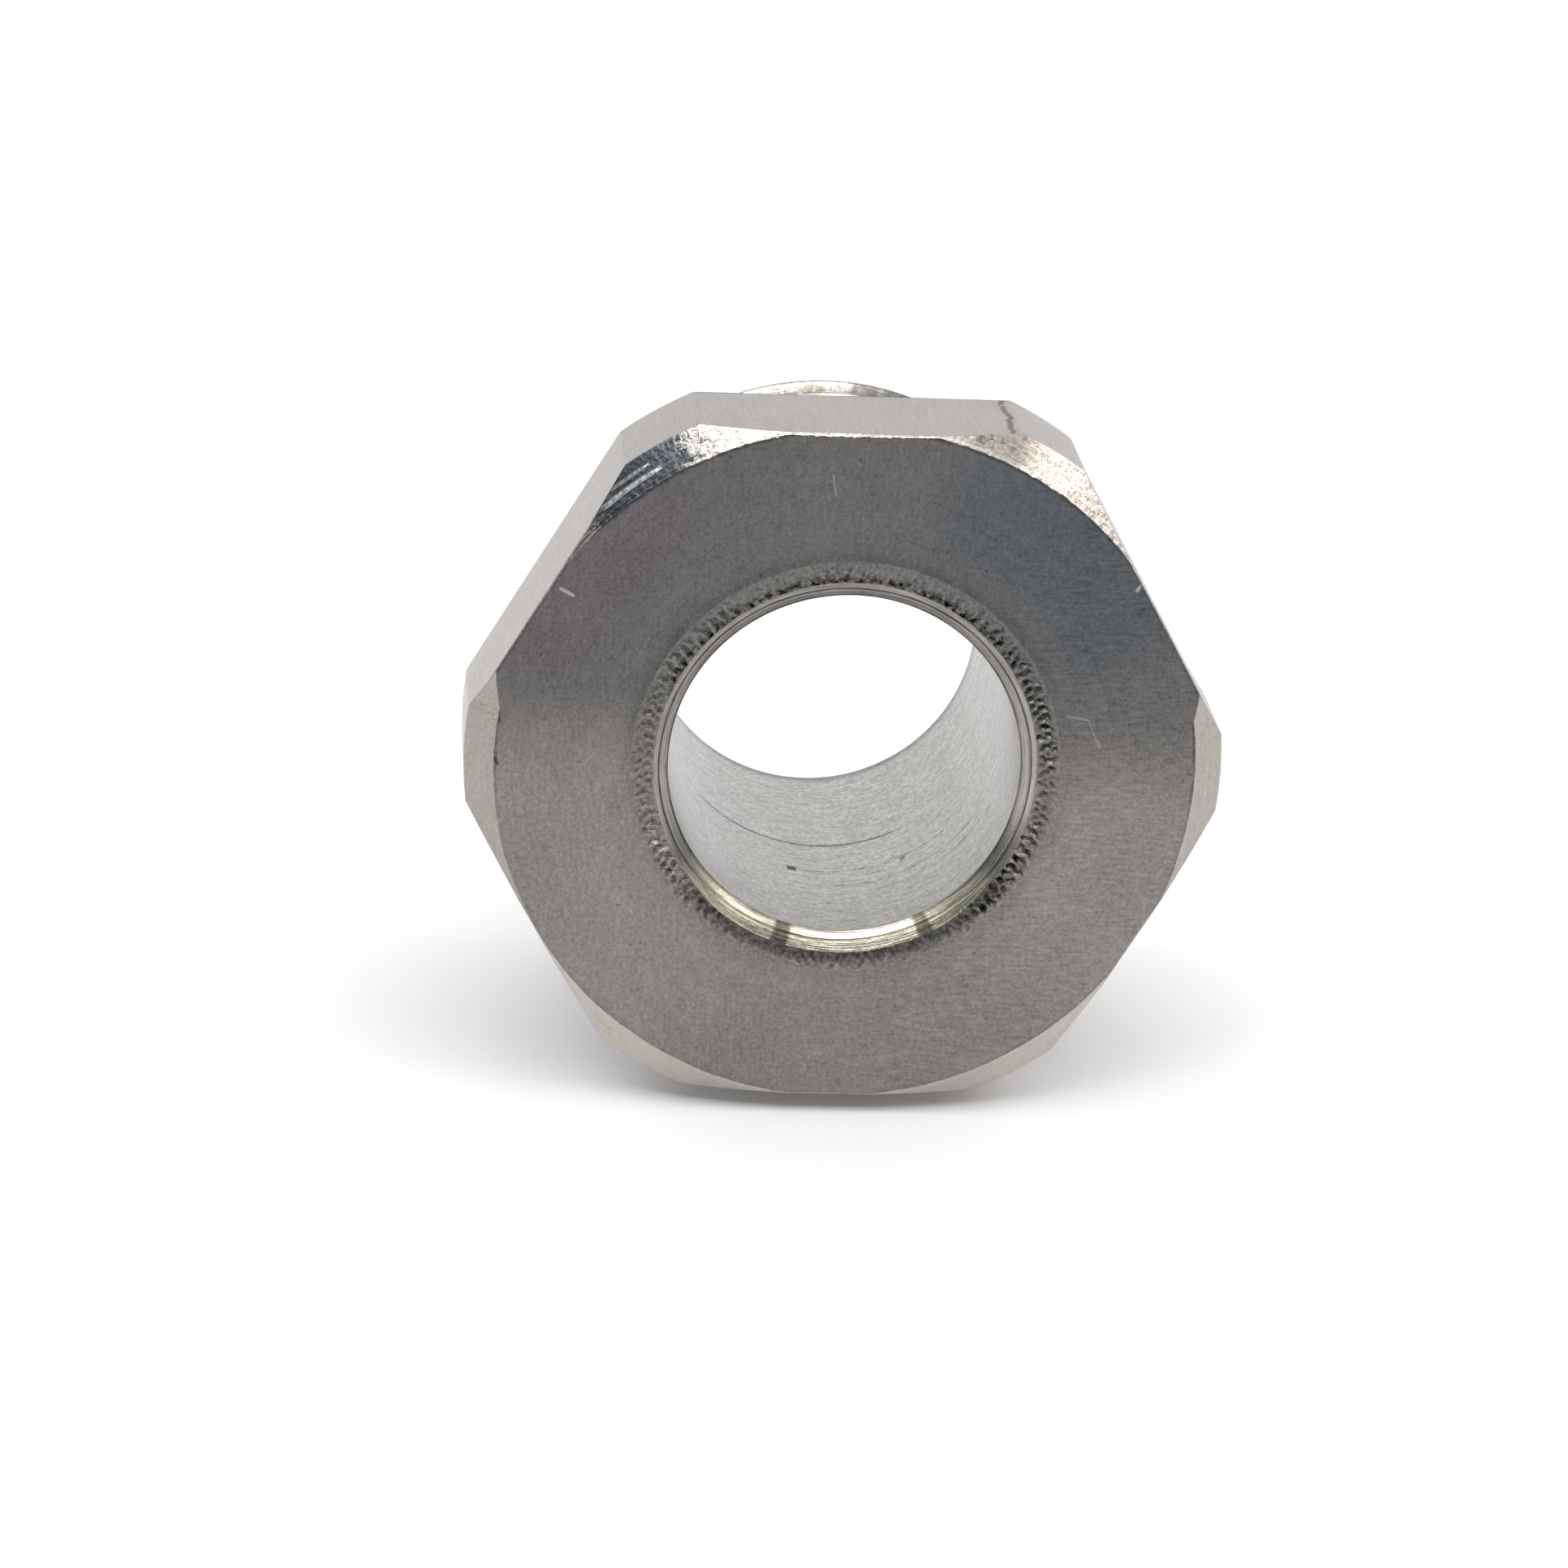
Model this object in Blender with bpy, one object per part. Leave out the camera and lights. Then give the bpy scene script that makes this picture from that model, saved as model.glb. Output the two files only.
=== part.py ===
"""Panel (bulkhead) pipe coupling: hexagon-headed threaded body, gasket, washer and lock nut.

Frame: metres, +Z up. The bore axis runs along +Y from the head's front face to the threaded end. The head stands
on one of its flats, so the axis is half an across-flats above Z = 0. The origin is under the middle of the length.
"""
import math

import bmesh
import bpy
from mathutils import Vector

for ob in list(bpy.data.objects):
    bpy.data.objects.remove(ob, do_unlink=True)

MM = 0.001

# ---- driving dimensions, in millimetres ----------------------------------------------------------------------------
HEAD_AF = 27.0          # head, across flats
HEAD_THICKNESS = 5.6
CORNER_DIA = 29.4       # the hexagon bar is turned down to this over its corners
FACE_DIA = 27.1         # flat front face inside the outer chamfer
FACE_CHAMFER = 0.9      # axial length of the outer chamfer
LENGTH = 19.4           # front face to threaded end
BORE_DIA = 13.6
MOUTH_CHAMFER = 0.65    # 45 degrees, front mouth of the bore
REAR_BORE_CHAMFER = 0.5

THREAD_MAJOR = 20.955   # G 1/2 parallel pipe thread
THREAD_MINOR = 18.631
THREAD_PITCH = 1.814
RELIEF_DIA = 18.2       # undercut behind the head
RELIEF_END = 6.8        # from the front face
THREAD_START = 7.0
END_CHAMFER = 0.7

GAP = 0.25              # between pieces that bear on each other
GASKET_THICKNESS = 0.8
GASKET_OD = 25.4
GASKET_ID = 21.6
WASHER_THICKNESS = 0.6
WASHER_OD = 24.8
WASHER_ID = 21.5
RING_EDGE = 0.12        # broken edge of the washer

NUT_AF = 24.0
NUT_THICKNESS = 2.5
NUT_CORNER_DIA = 26.2    # turned down over the corners
NUT_FACE_DIA = 23.3
NUT_CHAMFER_DEG = 20.0
THREAD_CLEARANCE = 0.30  # radial, nut thread to body thread
FLANK_CLEARANCE = 0.06   # extra axial relief on each flank

# ---- places along the axis, from the front face --------------------------------------------------------------------
GASKET_Y = HEAD_THICKNESS + GAP
WASHER_Y = GASKET_Y + GASKET_THICKNESS + GAP
NUT_Y = WASHER_Y + WASHER_THICKNESS + GAP
AXIS_Z = HEAD_AF / 2
FRONT_Y = -LENGTH / 2

# columns round the axis: hexagon corners at 0, 60, ... degrees, flats facing 30, 90, ...
CORNER_HALF = 30.0 - math.degrees(math.acos(HEAD_AF / CORNER_DIA))
SECTOR = (0.0, CORNER_HALF, 14.0, 22.0, 30.0, 38.0, 46.0, 60.0 - CORNER_HALF)
COLUMNS = [math.radians(60 * s + a) for s in range(6) for a in SECTOR] + [2 * math.pi]


def thread_radius(y, angle, minor, major, crest_half):
    """Radius of the helical profile; the crest is at half a pitch, each flank stands at 27.5 degrees."""
    u = (y / THREAD_PITCH + angle / (2 * math.pi)) % 1.0
    rise = (major - minor) / 2 * math.tan(math.radians(27.5)) / THREAD_PITCH
    d = abs(u - 0.5) - crest_half / THREAD_PITCH
    t = min(1.0, max(0.0, d / rise))
    return major / 2 + (minor / 2 - major / 2) * t


def thread_rows(angle, start, end, minor, major, crest_half):
    """Points (radius, y) down one column of a right-hand thread, cut off square at both ends."""
    rise = (major - minor) / 2 * math.tan(math.radians(27.5)) / THREAD_PITCH
    c = crest_half / THREAD_PITCH
    stops = (0.5 - c - rise, 0.5 - c, 0.5 + c, 0.5 + c + rise)
    first = math.floor(start / THREAD_PITCH) - 2
    last = math.ceil(end / THREAD_PITCH) + 3
    rows = []
    for n in range(first, last):
        for u in stops:
            y = THREAD_PITCH * (n + u - angle / (2 * math.pi))
            y = min(max(y, start), end)
            rows.append((thread_radius(y, angle, minor, major, crest_half), y))
    return rows


def section_ring(bm, section):
    """Sweep a closed section, given as a function of the column's angle, once round the axis."""
    rings = []
    for angle in COLUMNS:
        c, s = math.cos(angle), math.sin(angle)
        rings.append([bm.verts.new(Vector((r * c, y, r * s)) * MM) for r, y in section(angle)])
    for a, b in zip(rings, rings[1:]):
        for i in range(len(a)):
            j = (i + 1) % len(a)
            bm.faces.new((a[i], a[j], b[j], b[i]))
    bmesh.ops.remove_doubles(bm, verts=bm.verts[:], dist=1e-6)
    bmesh.ops.dissolve_degenerate(bm, edges=bm.edges[:], dist=1e-7)
    bmesh.ops.recalc_face_normals(bm, faces=bm.faces[:])


def material(name, colour, roughness, metallic):
    mat = bpy.data.materials.new(name)
    mat.use_nodes = True
    shader = mat.node_tree.nodes["Principled BSDF"]
    shader.inputs["Base Color"].default_value = (*colour, 1.0)
    shader.inputs["Roughness"].default_value = roughness
    shader.inputs["Metallic"].default_value = metallic
    return mat


def piece(name, bm, y, mat):
    """Add an object whose origin lies on the bore axis."""
    mesh = bpy.data.meshes.new(name)
    bm.to_mesh(mesh)
    bm.free()
    ob = bpy.data.objects.new(name, mesh)
    ob.location = (0.0, (FRONT_Y + y) * MM, AXIS_Z * MM)
    bpy.context.collection.objects.link(ob)
    if mat is not None:
        mesh.materials.append(mat)
        mesh.shade_smooth()
        mesh.set_sharp_from_angle(angle=math.radians(28))
    return ob


def hexagon_bar(name, across_flats, y, start, end):
    """Hexagonal bar along the axis, corners at 0, 60, ... degrees: the stock a turned piece is left inside."""
    bm = bmesh.new()
    corner = across_flats / 2 / math.cos(math.radians(30))
    ring = [bm.verts.new(Vector((corner * math.cos(math.radians(60 * i)), start,
                                 corner * math.sin(math.radians(60 * i)))) * MM) for i in range(6)]
    face = bm.faces.new(ring)
    out = bmesh.ops.extrude_face_region(bm, geom=[face])
    moved = [v for v in out["geom"] if isinstance(v, bmesh.types.BMVert)]
    bmesh.ops.translate(bm, verts=moved, vec=Vector((0, (end - start) * MM, 0)))
    bmesh.ops.recalc_face_normals(bm, faces=bm.faces[:])
    ob = piece(name, bm, y, None)
    ob.hide_render = True
    ob.display_type = 'WIRE'
    return ob


def keep_inside(ob, bar):
    mod = ob.modifiers.new("hexagon", 'BOOLEAN')
    mod.operation = 'INTERSECT'
    mod.solver = 'EXACT'
    mod.object = bar


# ---- coupling body -------------------------------------------------------------------------------------------------
def body_section(angle):
    bore, relief = BORE_DIA / 2, RELIEF_DIA / 2
    pts = [(bore, MOUTH_CHAMFER), (bore + MOUTH_CHAMFER, 0.0), (FACE_DIA / 2, 0.0), (CORNER_DIA / 2, FACE_CHAMFER),
           (CORNER_DIA / 2, HEAD_THICKNESS), (relief, HEAD_THICKNESS), (relief, RELIEF_END)]
    for r, y in thread_rows(angle, THREAD_START, LENGTH, THREAD_MINOR, THREAD_MAJOR, 0.151):
        lead_in = relief + (y - RELIEF_END)
        lead_out = THREAD_MAJOR / 2 - (y - (LENGTH - END_CHAMFER))
        pts.append((min(r, lead_in, lead_out), y))
    pts += [(bore + REAR_BORE_CHAMFER, LENGTH), (bore, LENGTH - REAR_BORE_CHAMFER)]
    return pts


steel = material("stainless_body", (0.50, 0.49, 0.47), 0.32, 1.0)
bm = bmesh.new()
section_ring(bm, body_section)
body = piece("coupling_body", bm, 0.0, steel)
keep_inside(body, hexagon_bar("head_stock", HEAD_AF, 0.0, -2.0, LENGTH + 2.0))


# ---- gasket and washer ---------------------------------------------------------------------------------------------
def plain_ring(name, inner, outer, thickness, edge, y, mat):
    def section(angle):
        if edge == 0:
            return [(inner, 0.0), (outer, 0.0), (outer, thickness), (inner, thickness)]
        return [(inner, edge), (inner + edge, 0.0), (outer - edge, 0.0), (outer, edge),
                (outer, thickness - edge), (outer - edge, thickness), (inner + edge, thickness),
                (inner, thickness - edge)]
    ring = bmesh.new()
    section_ring(ring, section)
    return piece(name, ring, y, mat)


plain_ring("head_gasket", GASKET_ID / 2, GASKET_OD / 2, GASKET_THICKNESS, 0,
           GASKET_Y, material("gasket_rubber", (0.03, 0.03, 0.032), 0.75, 0.0))
plain_ring("flat_washer", WASHER_ID / 2, WASHER_OD / 2, WASHER_THICKNESS, RING_EDGE,
           WASHER_Y, material("stainless_washer", (0.56, 0.55, 0.53), 0.28, 1.0))


# ---- lock nut ------------------------------------------------------------------------------------------------------
def nut_section(angle):
    """The thread is placed by its distance from the front face, so that it meshes with the body's."""
    slope = math.tan(math.radians(NUT_CHAMFER_DEG))
    blank = NUT_CORNER_DIA / 2
    face, t = NUT_FACE_DIA / 2, NUT_THICKNESS
    drop = (blank - face) * slope
    mouth = THREAD_MAJOR / 2 + THREAD_CLEARANCE + 0.15
    pts = [(face, 0.0), (blank, drop), (blank, t - drop), (face, t)]
    inner = thread_rows(angle, NUT_Y, NUT_Y + t, THREAD_MINOR + 2 * THREAD_CLEARANCE,
                        THREAD_MAJOR + 2 * THREAD_CLEARANCE, 0.151 + FLANK_CLEARANCE)
    for r, y in reversed(inner):
        y -= NUT_Y
        pts.append((max(r, mouth - y, mouth - (t - y)), y))
    return pts


bm = bmesh.new()
section_ring(bm, nut_section)
nut = piece("lock_nut", bm, NUT_Y, material("stainless_nut", (0.50, 0.49, 0.48), 0.34, 1.0))
keep_inside(nut, hexagon_bar("nut_stock", NUT_AF, NUT_Y, -1.0, NUT_THICKNESS + 1.0))
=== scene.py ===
import math

import bmesh
import bpy
import numpy as np
from mathutils import Matrix, Vector


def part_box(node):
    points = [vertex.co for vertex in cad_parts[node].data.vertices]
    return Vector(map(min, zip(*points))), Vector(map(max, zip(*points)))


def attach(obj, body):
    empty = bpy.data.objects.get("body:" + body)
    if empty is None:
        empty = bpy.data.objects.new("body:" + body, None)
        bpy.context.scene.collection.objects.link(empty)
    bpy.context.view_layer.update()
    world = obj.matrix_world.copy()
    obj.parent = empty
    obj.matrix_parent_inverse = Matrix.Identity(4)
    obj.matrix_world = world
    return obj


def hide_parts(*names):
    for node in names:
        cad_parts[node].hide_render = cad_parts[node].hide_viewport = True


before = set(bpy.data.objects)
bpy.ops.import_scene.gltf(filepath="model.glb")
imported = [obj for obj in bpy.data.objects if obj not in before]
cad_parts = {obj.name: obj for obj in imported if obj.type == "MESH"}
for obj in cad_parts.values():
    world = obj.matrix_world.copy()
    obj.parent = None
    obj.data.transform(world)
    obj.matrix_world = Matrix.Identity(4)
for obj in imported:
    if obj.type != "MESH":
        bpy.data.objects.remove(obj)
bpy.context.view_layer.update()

# ====================================================================================================================
# Sizes in millimetres, measured from the middle of the head's front face; y runs along the bore, away from the face.
# ====================================================================================================================
MM = 0.001
lo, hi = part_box("coupling_body")
FRONT_Y = lo[1] / MM
LENGTH = (hi[1] - lo[1]) / MM
AXIS_Z = 13.5

BORE_R = 6.83
CORNER_R = 14.7
FACE_R = 13.56
CONE_LEN = 0.85
HEAD_T = 5.6
RELIEF_R = 9.1
RELIEF_END = 6.8
THREAD_START = 7.0
END_CHAMFER = 0.7
MAJOR_R, MINOR_R, PITCH = 20.955 / 2, 18.631 / 2, 1.814
# each flat's own distance from the bore axis: the hexagon is a little off the turned centre
FLATS = {30: 13.41, 90: 13.36, 150: 13.57, 210: 13.60, 270: 13.5, 330: 13.48}

TAU = 2 * math.pi


# ====================================================================================================================
# Rings swept round the axis, with every edge rounded
# ====================================================================================================================
def smooth_noise(theta, seed, lowest, count, falloff=0.8):
    """A fixed periodic wobble round the axis, about -1 to 1."""
    rng = np.random.RandomState(seed)
    out = np.zeros_like(theta)
    total = 0.0
    for i in range(count):
        k = lowest + i * max(1, lowest // 3) + rng.randint(0, 2)
        a = falloff ** i
        out = out + a * np.sin(k * theta + rng.uniform(0, TAU))
        total += a * a
    return out / math.sqrt(total) * 0.7


def columns(step_deg, special_deg):
    base = [a for a in np.arange(0, 360, step_deg)
            if all(abs((a - s + 180) % 360 - 180) > 0.3 * step_deg for s in special_deg)]
    theta = np.radians(np.array(sorted(base + [s % 360 for s in special_deg])))
    return np.append(theta, theta[0] + TAU)


class Section:
    """Rows of points, each row running once round the axis; tags name the finish of the strip after each row."""

    def __init__(self, theta):
        self.theta = theta
        self.r, self.y, self.tags, self.relief = [], [], [], {}

    def row(self, r, y, tag, relief=None):
        one = np.ones_like(self.theta)
        if relief is not None:
            self.relief[len(self.r)] = relief
        self.r.append(one * r)
        self.y.append(one * y)
        self.tags.append(tag)

    def path(self, points):
        """points: (r, y, rounding, tag after the point, rows after the point). The first and last points are ends."""
        one = np.ones_like(self.theta)
        pts = [(one * p[0], one * p[1], *p[2:]) for p in points]
        cut_out = []
        for i, (r, y, rad, tag, sub) in enumerate(pts):
            if 0 < i < len(pts) - 1 and rad > 0:
                pr, py = pts[i - 1][:2]
                nr, ny = pts[i + 1][:2]
                dp = np.hypot(r - pr, y - py) + 1e-9
                dn = np.hypot(nr - r, ny - y) + 1e-9
                d = np.minimum(rad, np.minimum(0.32 * dp, 0.32 * dn))
                ar, ay = r + (pr - r) / dp * d, y + (py - y) / dp * d
                br, by = r + (nr - r) / dn * d, y + (ny - y) / dn * d
                sr, sy = r + (pr - r) / dp * d * 1.35, y + (py - y) / dp * d * 1.35
                er, ey = r + (nr - r) / dn * d * 1.35, y + (ny - y) / dn * d * 1.35
                before = pts[i - 1][3]
                self.row(sr, sy, before)
                for k in range(5):
                    t = k / 4
                    self.row((1 - t) ** 2 * ar + 2 * t * (1 - t) * r + t * t * br,
                             (1 - t) ** 2 * ay + 2 * t * (1 - t) * y + t * t * by,
                             before if k < 2 else tag)
                self.row(er, ey, tag)
                start = (er, ey)
            else:
                self.row(r, y, tag)
                start = (r, y)
            if i < len(pts) - 1 and sub > 1:
                nr, ny = pts[i + 1][:2]
                # stop the extra rows short of the next point's rounding
                for k in range(1, sub):
                    t = k / sub
                    self.row(start[0] + (nr - start[0]) * t * 0.94, start[1] + (ny - start[1]) * t * 0.94, tag)

    def mesh(self, name, y0, materials, sharp_deg=32):
        r, y = np.array(self.r), np.array(self.y)
        n, m = r.shape
        c, s = np.cos(self.theta), np.sin(self.theta)
        co = np.stack([r * c, y + FRONT_Y + y0, r * s + AXIS_Z], axis=-1) * MM
        idx = np.arange(n * m).reshape(n, m)
        a, b = idx, np.roll(idx, -1, axis=0)
        faces = np.stack([a[:, :-1], a[:, 1:], b[:, 1:], b[:, :-1]], axis=-1).reshape(-1, 4)
        slots = list(dict.fromkeys(self.tags))
        tag_index = np.repeat([slots.index(t) for t in self.tags], m - 1)
        me = bpy.data.meshes.new(name)
        me.from_pydata(co.reshape(-1, 3).tolist(), [], faces.tolist())
        me.polygons.foreach_set("material_index", tag_index.astype(np.int32))
        if self.relief:
            value = np.zeros((n, m), dtype=np.float32)
            for k, v in self.relief.items():
                value[k] = v
            me.attributes.new("relief", 'FLOAT', 'POINT').data.foreach_set("value", value.ravel())
        bm = bmesh.new()
        bm.from_mesh(me)
        bmesh.ops.remove_doubles(bm, verts=bm.verts[:], dist=6e-7)
        bmesh.ops.dissolve_degenerate(bm, edges=bm.edges[:], dist=2e-7)
        bmesh.ops.recalc_face_normals(bm, faces=bm.faces[:])
        bm.to_mesh(me)
        bm.free()
        for t in slots:
            me.materials.append(materials[t])
        me.shade_smooth()
        me.set_sharp_from_angle(angle=math.radians(sharp_deg))
        ob = bpy.data.objects.new(name, me)
        bpy.context.scene.collection.objects.link(ob)
        return ob


def soft_step(t, w=0.14):
    """0 to 1 with rounded ends, straight between: the shape of a thread's flank."""
    t = np.asarray(t, float)
    out = np.clip(t, 0, 1)
    near0 = np.abs(t) < w
    out = np.where(near0, (t + w) ** 2 / (4 * w), out)
    near1 = np.abs(t - 1) < w
    out = np.where(near1, 1 - (1 - t + w) ** 2 / (4 * w), out)
    return out


def thread_r(y_abs, theta, minor, major, crest_half):
    u = (y_abs / PITCH + theta / TAU) % 1.0
    rise = (major - minor) * math.tan(math.radians(27.5)) / PITCH
    d = np.abs(u - 0.5) - crest_half / PITCH
    return major - (major - minor) * soft_step(d / rise)


def thread_rows(theta, start, end, per_pitch):
    """y of every row down a right-hand thread, following the helix and cut square at both ends."""
    first = math.floor(start / PITCH) - 2
    last = math.ceil(end / PITCH) + 3
    for k in range(first * per_pitch, last * per_pitch):
        yield np.clip(PITCH * (k / per_pitch - theta / TAU), start, end)


def hexagon_r(theta, flats, corner_r):
    r = np.full_like(theta, corner_r)
    for deg, apothem in flats.items():
        c = np.cos(theta - math.radians(deg))
        r = np.where(c > 0.5, np.minimum(r, apothem / np.maximum(c, 0.5)), r)
    return r


# ====================================================================================================================
# Materials
# ====================================================================================================================
class Nodes:
    """Short names for building a node tree."""

    def __init__(self, name):
        self.mat = bpy.data.materials.new(name)
        self.mat.use_nodes = True
        self.nt = self.mat.node_tree
        self.bsdf = self.nt.nodes["Principled BSDF"]
        self.pos = self.nt.nodes.new("ShaderNodeTexCoord").outputs["Object"]
        sep = self.nt.nodes.new("ShaderNodeSeparateXYZ")
        self.link(self.pos, sep.inputs[0])
        # millimetres: x to the right, y into the bore, z up from the bore axis
        self.x = self.math("MULTIPLY", sep.outputs[0], 1000)
        self.y = self.math("SUBTRACT", self.math("MULTIPLY", sep.outputs[1], 1000), FRONT_Y)
        self.z = self.math("SUBTRACT", self.math("MULTIPLY", sep.outputs[2], 1000), AXIS_Z)
        self.r = self.math("SQRT", self.math("ADD", self.math("MULTIPLY", self.x, self.x),
                                             self.math("MULTIPLY", self.z, self.z)))
        self.a = self.math("ARCTAN2", self.z, self.x)

    def link(self, out, inp):
        self.nt.links.new(out, inp)

    def put(self, inp, v):
        if isinstance(v, bpy.types.NodeSocket):
            self.link(v, inp)
        else:
            inp.default_value = v

    def math(self, op, a, b=0.0, c=None, clamp=False):
        n = self.nt.nodes.new("ShaderNodeMath")
        n.operation = op
        n.use_clamp = clamp
        self.put(n.inputs[0], a)
        self.put(n.inputs[1], b)
        if c is not None:
            self.put(n.inputs[2], c)
        return n.outputs[0]

    def vec(self, x, y, z):
        n = self.nt.nodes.new("ShaderNodeCombineXYZ")
        for i, v in enumerate((x, y, z)):
            self.put(n.inputs[i], v)
        return n.outputs[0]

    def grey(self, v):
        return self.vec(v, v, v)

    def noise(self, vector, scale=1.0, detail=2.0, rough=0.5, distortion=0.0):
        n = self.nt.nodes.new("ShaderNodeTexNoise")
        self.link(vector, n.inputs["Vector"])
        n.inputs["Scale"].default_value = scale
        n.inputs["Detail"].default_value = detail
        n.inputs["Roughness"].default_value = rough
        n.inputs["Distortion"].default_value = distortion
        return n.outputs["Fac"]

    def voronoi(self, vector, scale=1.0, feature='F1'):
        n = self.nt.nodes.new("ShaderNodeTexVoronoi")
        n.feature = feature
        self.link(vector, n.inputs["Vector"])
        n.inputs["Scale"].default_value = scale
        return n.outputs["Distance"]

    def remap(self, v, a, b, c=0.0, d=1.0, smooth=False):
        n = self.nt.nodes.new("ShaderNodeMapRange")
        n.interpolation_type = 'SMOOTHSTEP' if smooth else 'LINEAR'
        self.put(n.inputs["Value"], v)
        for k, w in (("From Min", a), ("From Max", b), ("To Min", c), ("To Max", d)):
            n.inputs[k].default_value = w
        return n.outputs["Result"]

    def mix(self, fac, a, b, kind='MIX'):
        n = self.nt.nodes.new("ShaderNodeMix")
        n.data_type = 'RGBA'
        n.blend_type = kind
        self.put(n.inputs[0], fac)
        for i, v in ((6, a), (7, b)):
            if isinstance(v, tuple):
                v = (*v, 1.0) if len(v) == 3 else v
            self.put(n.inputs[i], v)
        return n.outputs[2]

    def band(self, v, centre, half, soft):
        """1 within half of centre, fading to 0 over soft."""
        return self.remap(self.math("ABSOLUTE", self.math("SUBTRACT", v, centre)), half, half + soft, 1.0, 0.0, True)

    def angle_band(self, deg, half, soft):
        """1 near an angle round the axis, given in degrees."""
        d = self.math("SUBTRACT", self.a, math.radians(deg))
        c = self.math("COSINE", d)
        return self.remap(c, math.cos(math.radians(half + soft)), math.cos(math.radians(half)), 0.0, 1.0, True)

    def sum(self, *vs):
        out = vs[0]
        for v in vs[1:]:
            out = self.math("ADD", out, v)
        return out

    def times(self, *vs):
        out = vs[0]
        for v in vs[1:]:
            out = self.math("MULTIPLY", out, v)
        return out

    def dent(self, x1, z1, x2, z2, width):
        """1 on a short straight mark on the end face, 0 away from it."""
        dx, dz = x2 - x1, z2 - z1
        ll = dx * dx + dz * dz
        px, pz = self.math("SUBTRACT", self.x, x1), self.math("SUBTRACT", self.z, z1)
        t = self.math("DIVIDE", self.math("ADD", self.math("MULTIPLY", px, dx), self.math("MULTIPLY", pz, dz)), ll,
                      clamp=True)
        ex = self.math("SUBTRACT", px, self.math("MULTIPLY", t, dx))
        ez = self.math("SUBTRACT", pz, self.math("MULTIPLY", t, dz))
        d = self.math("SQRT", self.math("ADD", self.math("MULTIPLY", ex, ex), self.math("MULTIPLY", ez, ez)))
        return self.remap(d, width * 0.35, width, 1.0, 0.0, True)

    def bump(self, height, strength, distance_mm, normal=None):
        n = self.nt.nodes.new("ShaderNodeBump")
        n.inputs["Strength"].default_value = strength
        n.inputs["Distance"].default_value = distance_mm * MM
        self.link(height, n.inputs["Height"])
        if normal is not None:
            self.link(normal, n.inputs["Normal"])
        return n.outputs["Normal"]

    def finish(self, colour, roughness, normal=None, metallic=1.0):
        self.put(self.bsdf.inputs["Base Color"], colour if isinstance(colour, bpy.types.NodeSocket) else (*colour, 1))
        self.put(self.bsdf.inputs["Roughness"], roughness)
        self.bsdf.inputs["Metallic"].default_value = metallic
        if normal is not None:
            self.link(normal, self.bsdf.inputs["Normal"])
        return self.mat


# painted shade: the face's colours for its lighter lower part, its darker upper part, and the blue and violet shaded
# patches above
FACE_HIGH, FACE_LOW = (0.130, 0.126, 0.123), (0.236, 0.224, 0.206)
FACE_COOL, FACE_VIOLET = (0.092, 0.101, 0.110), (0.126, 0.112, 0.124)


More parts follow.
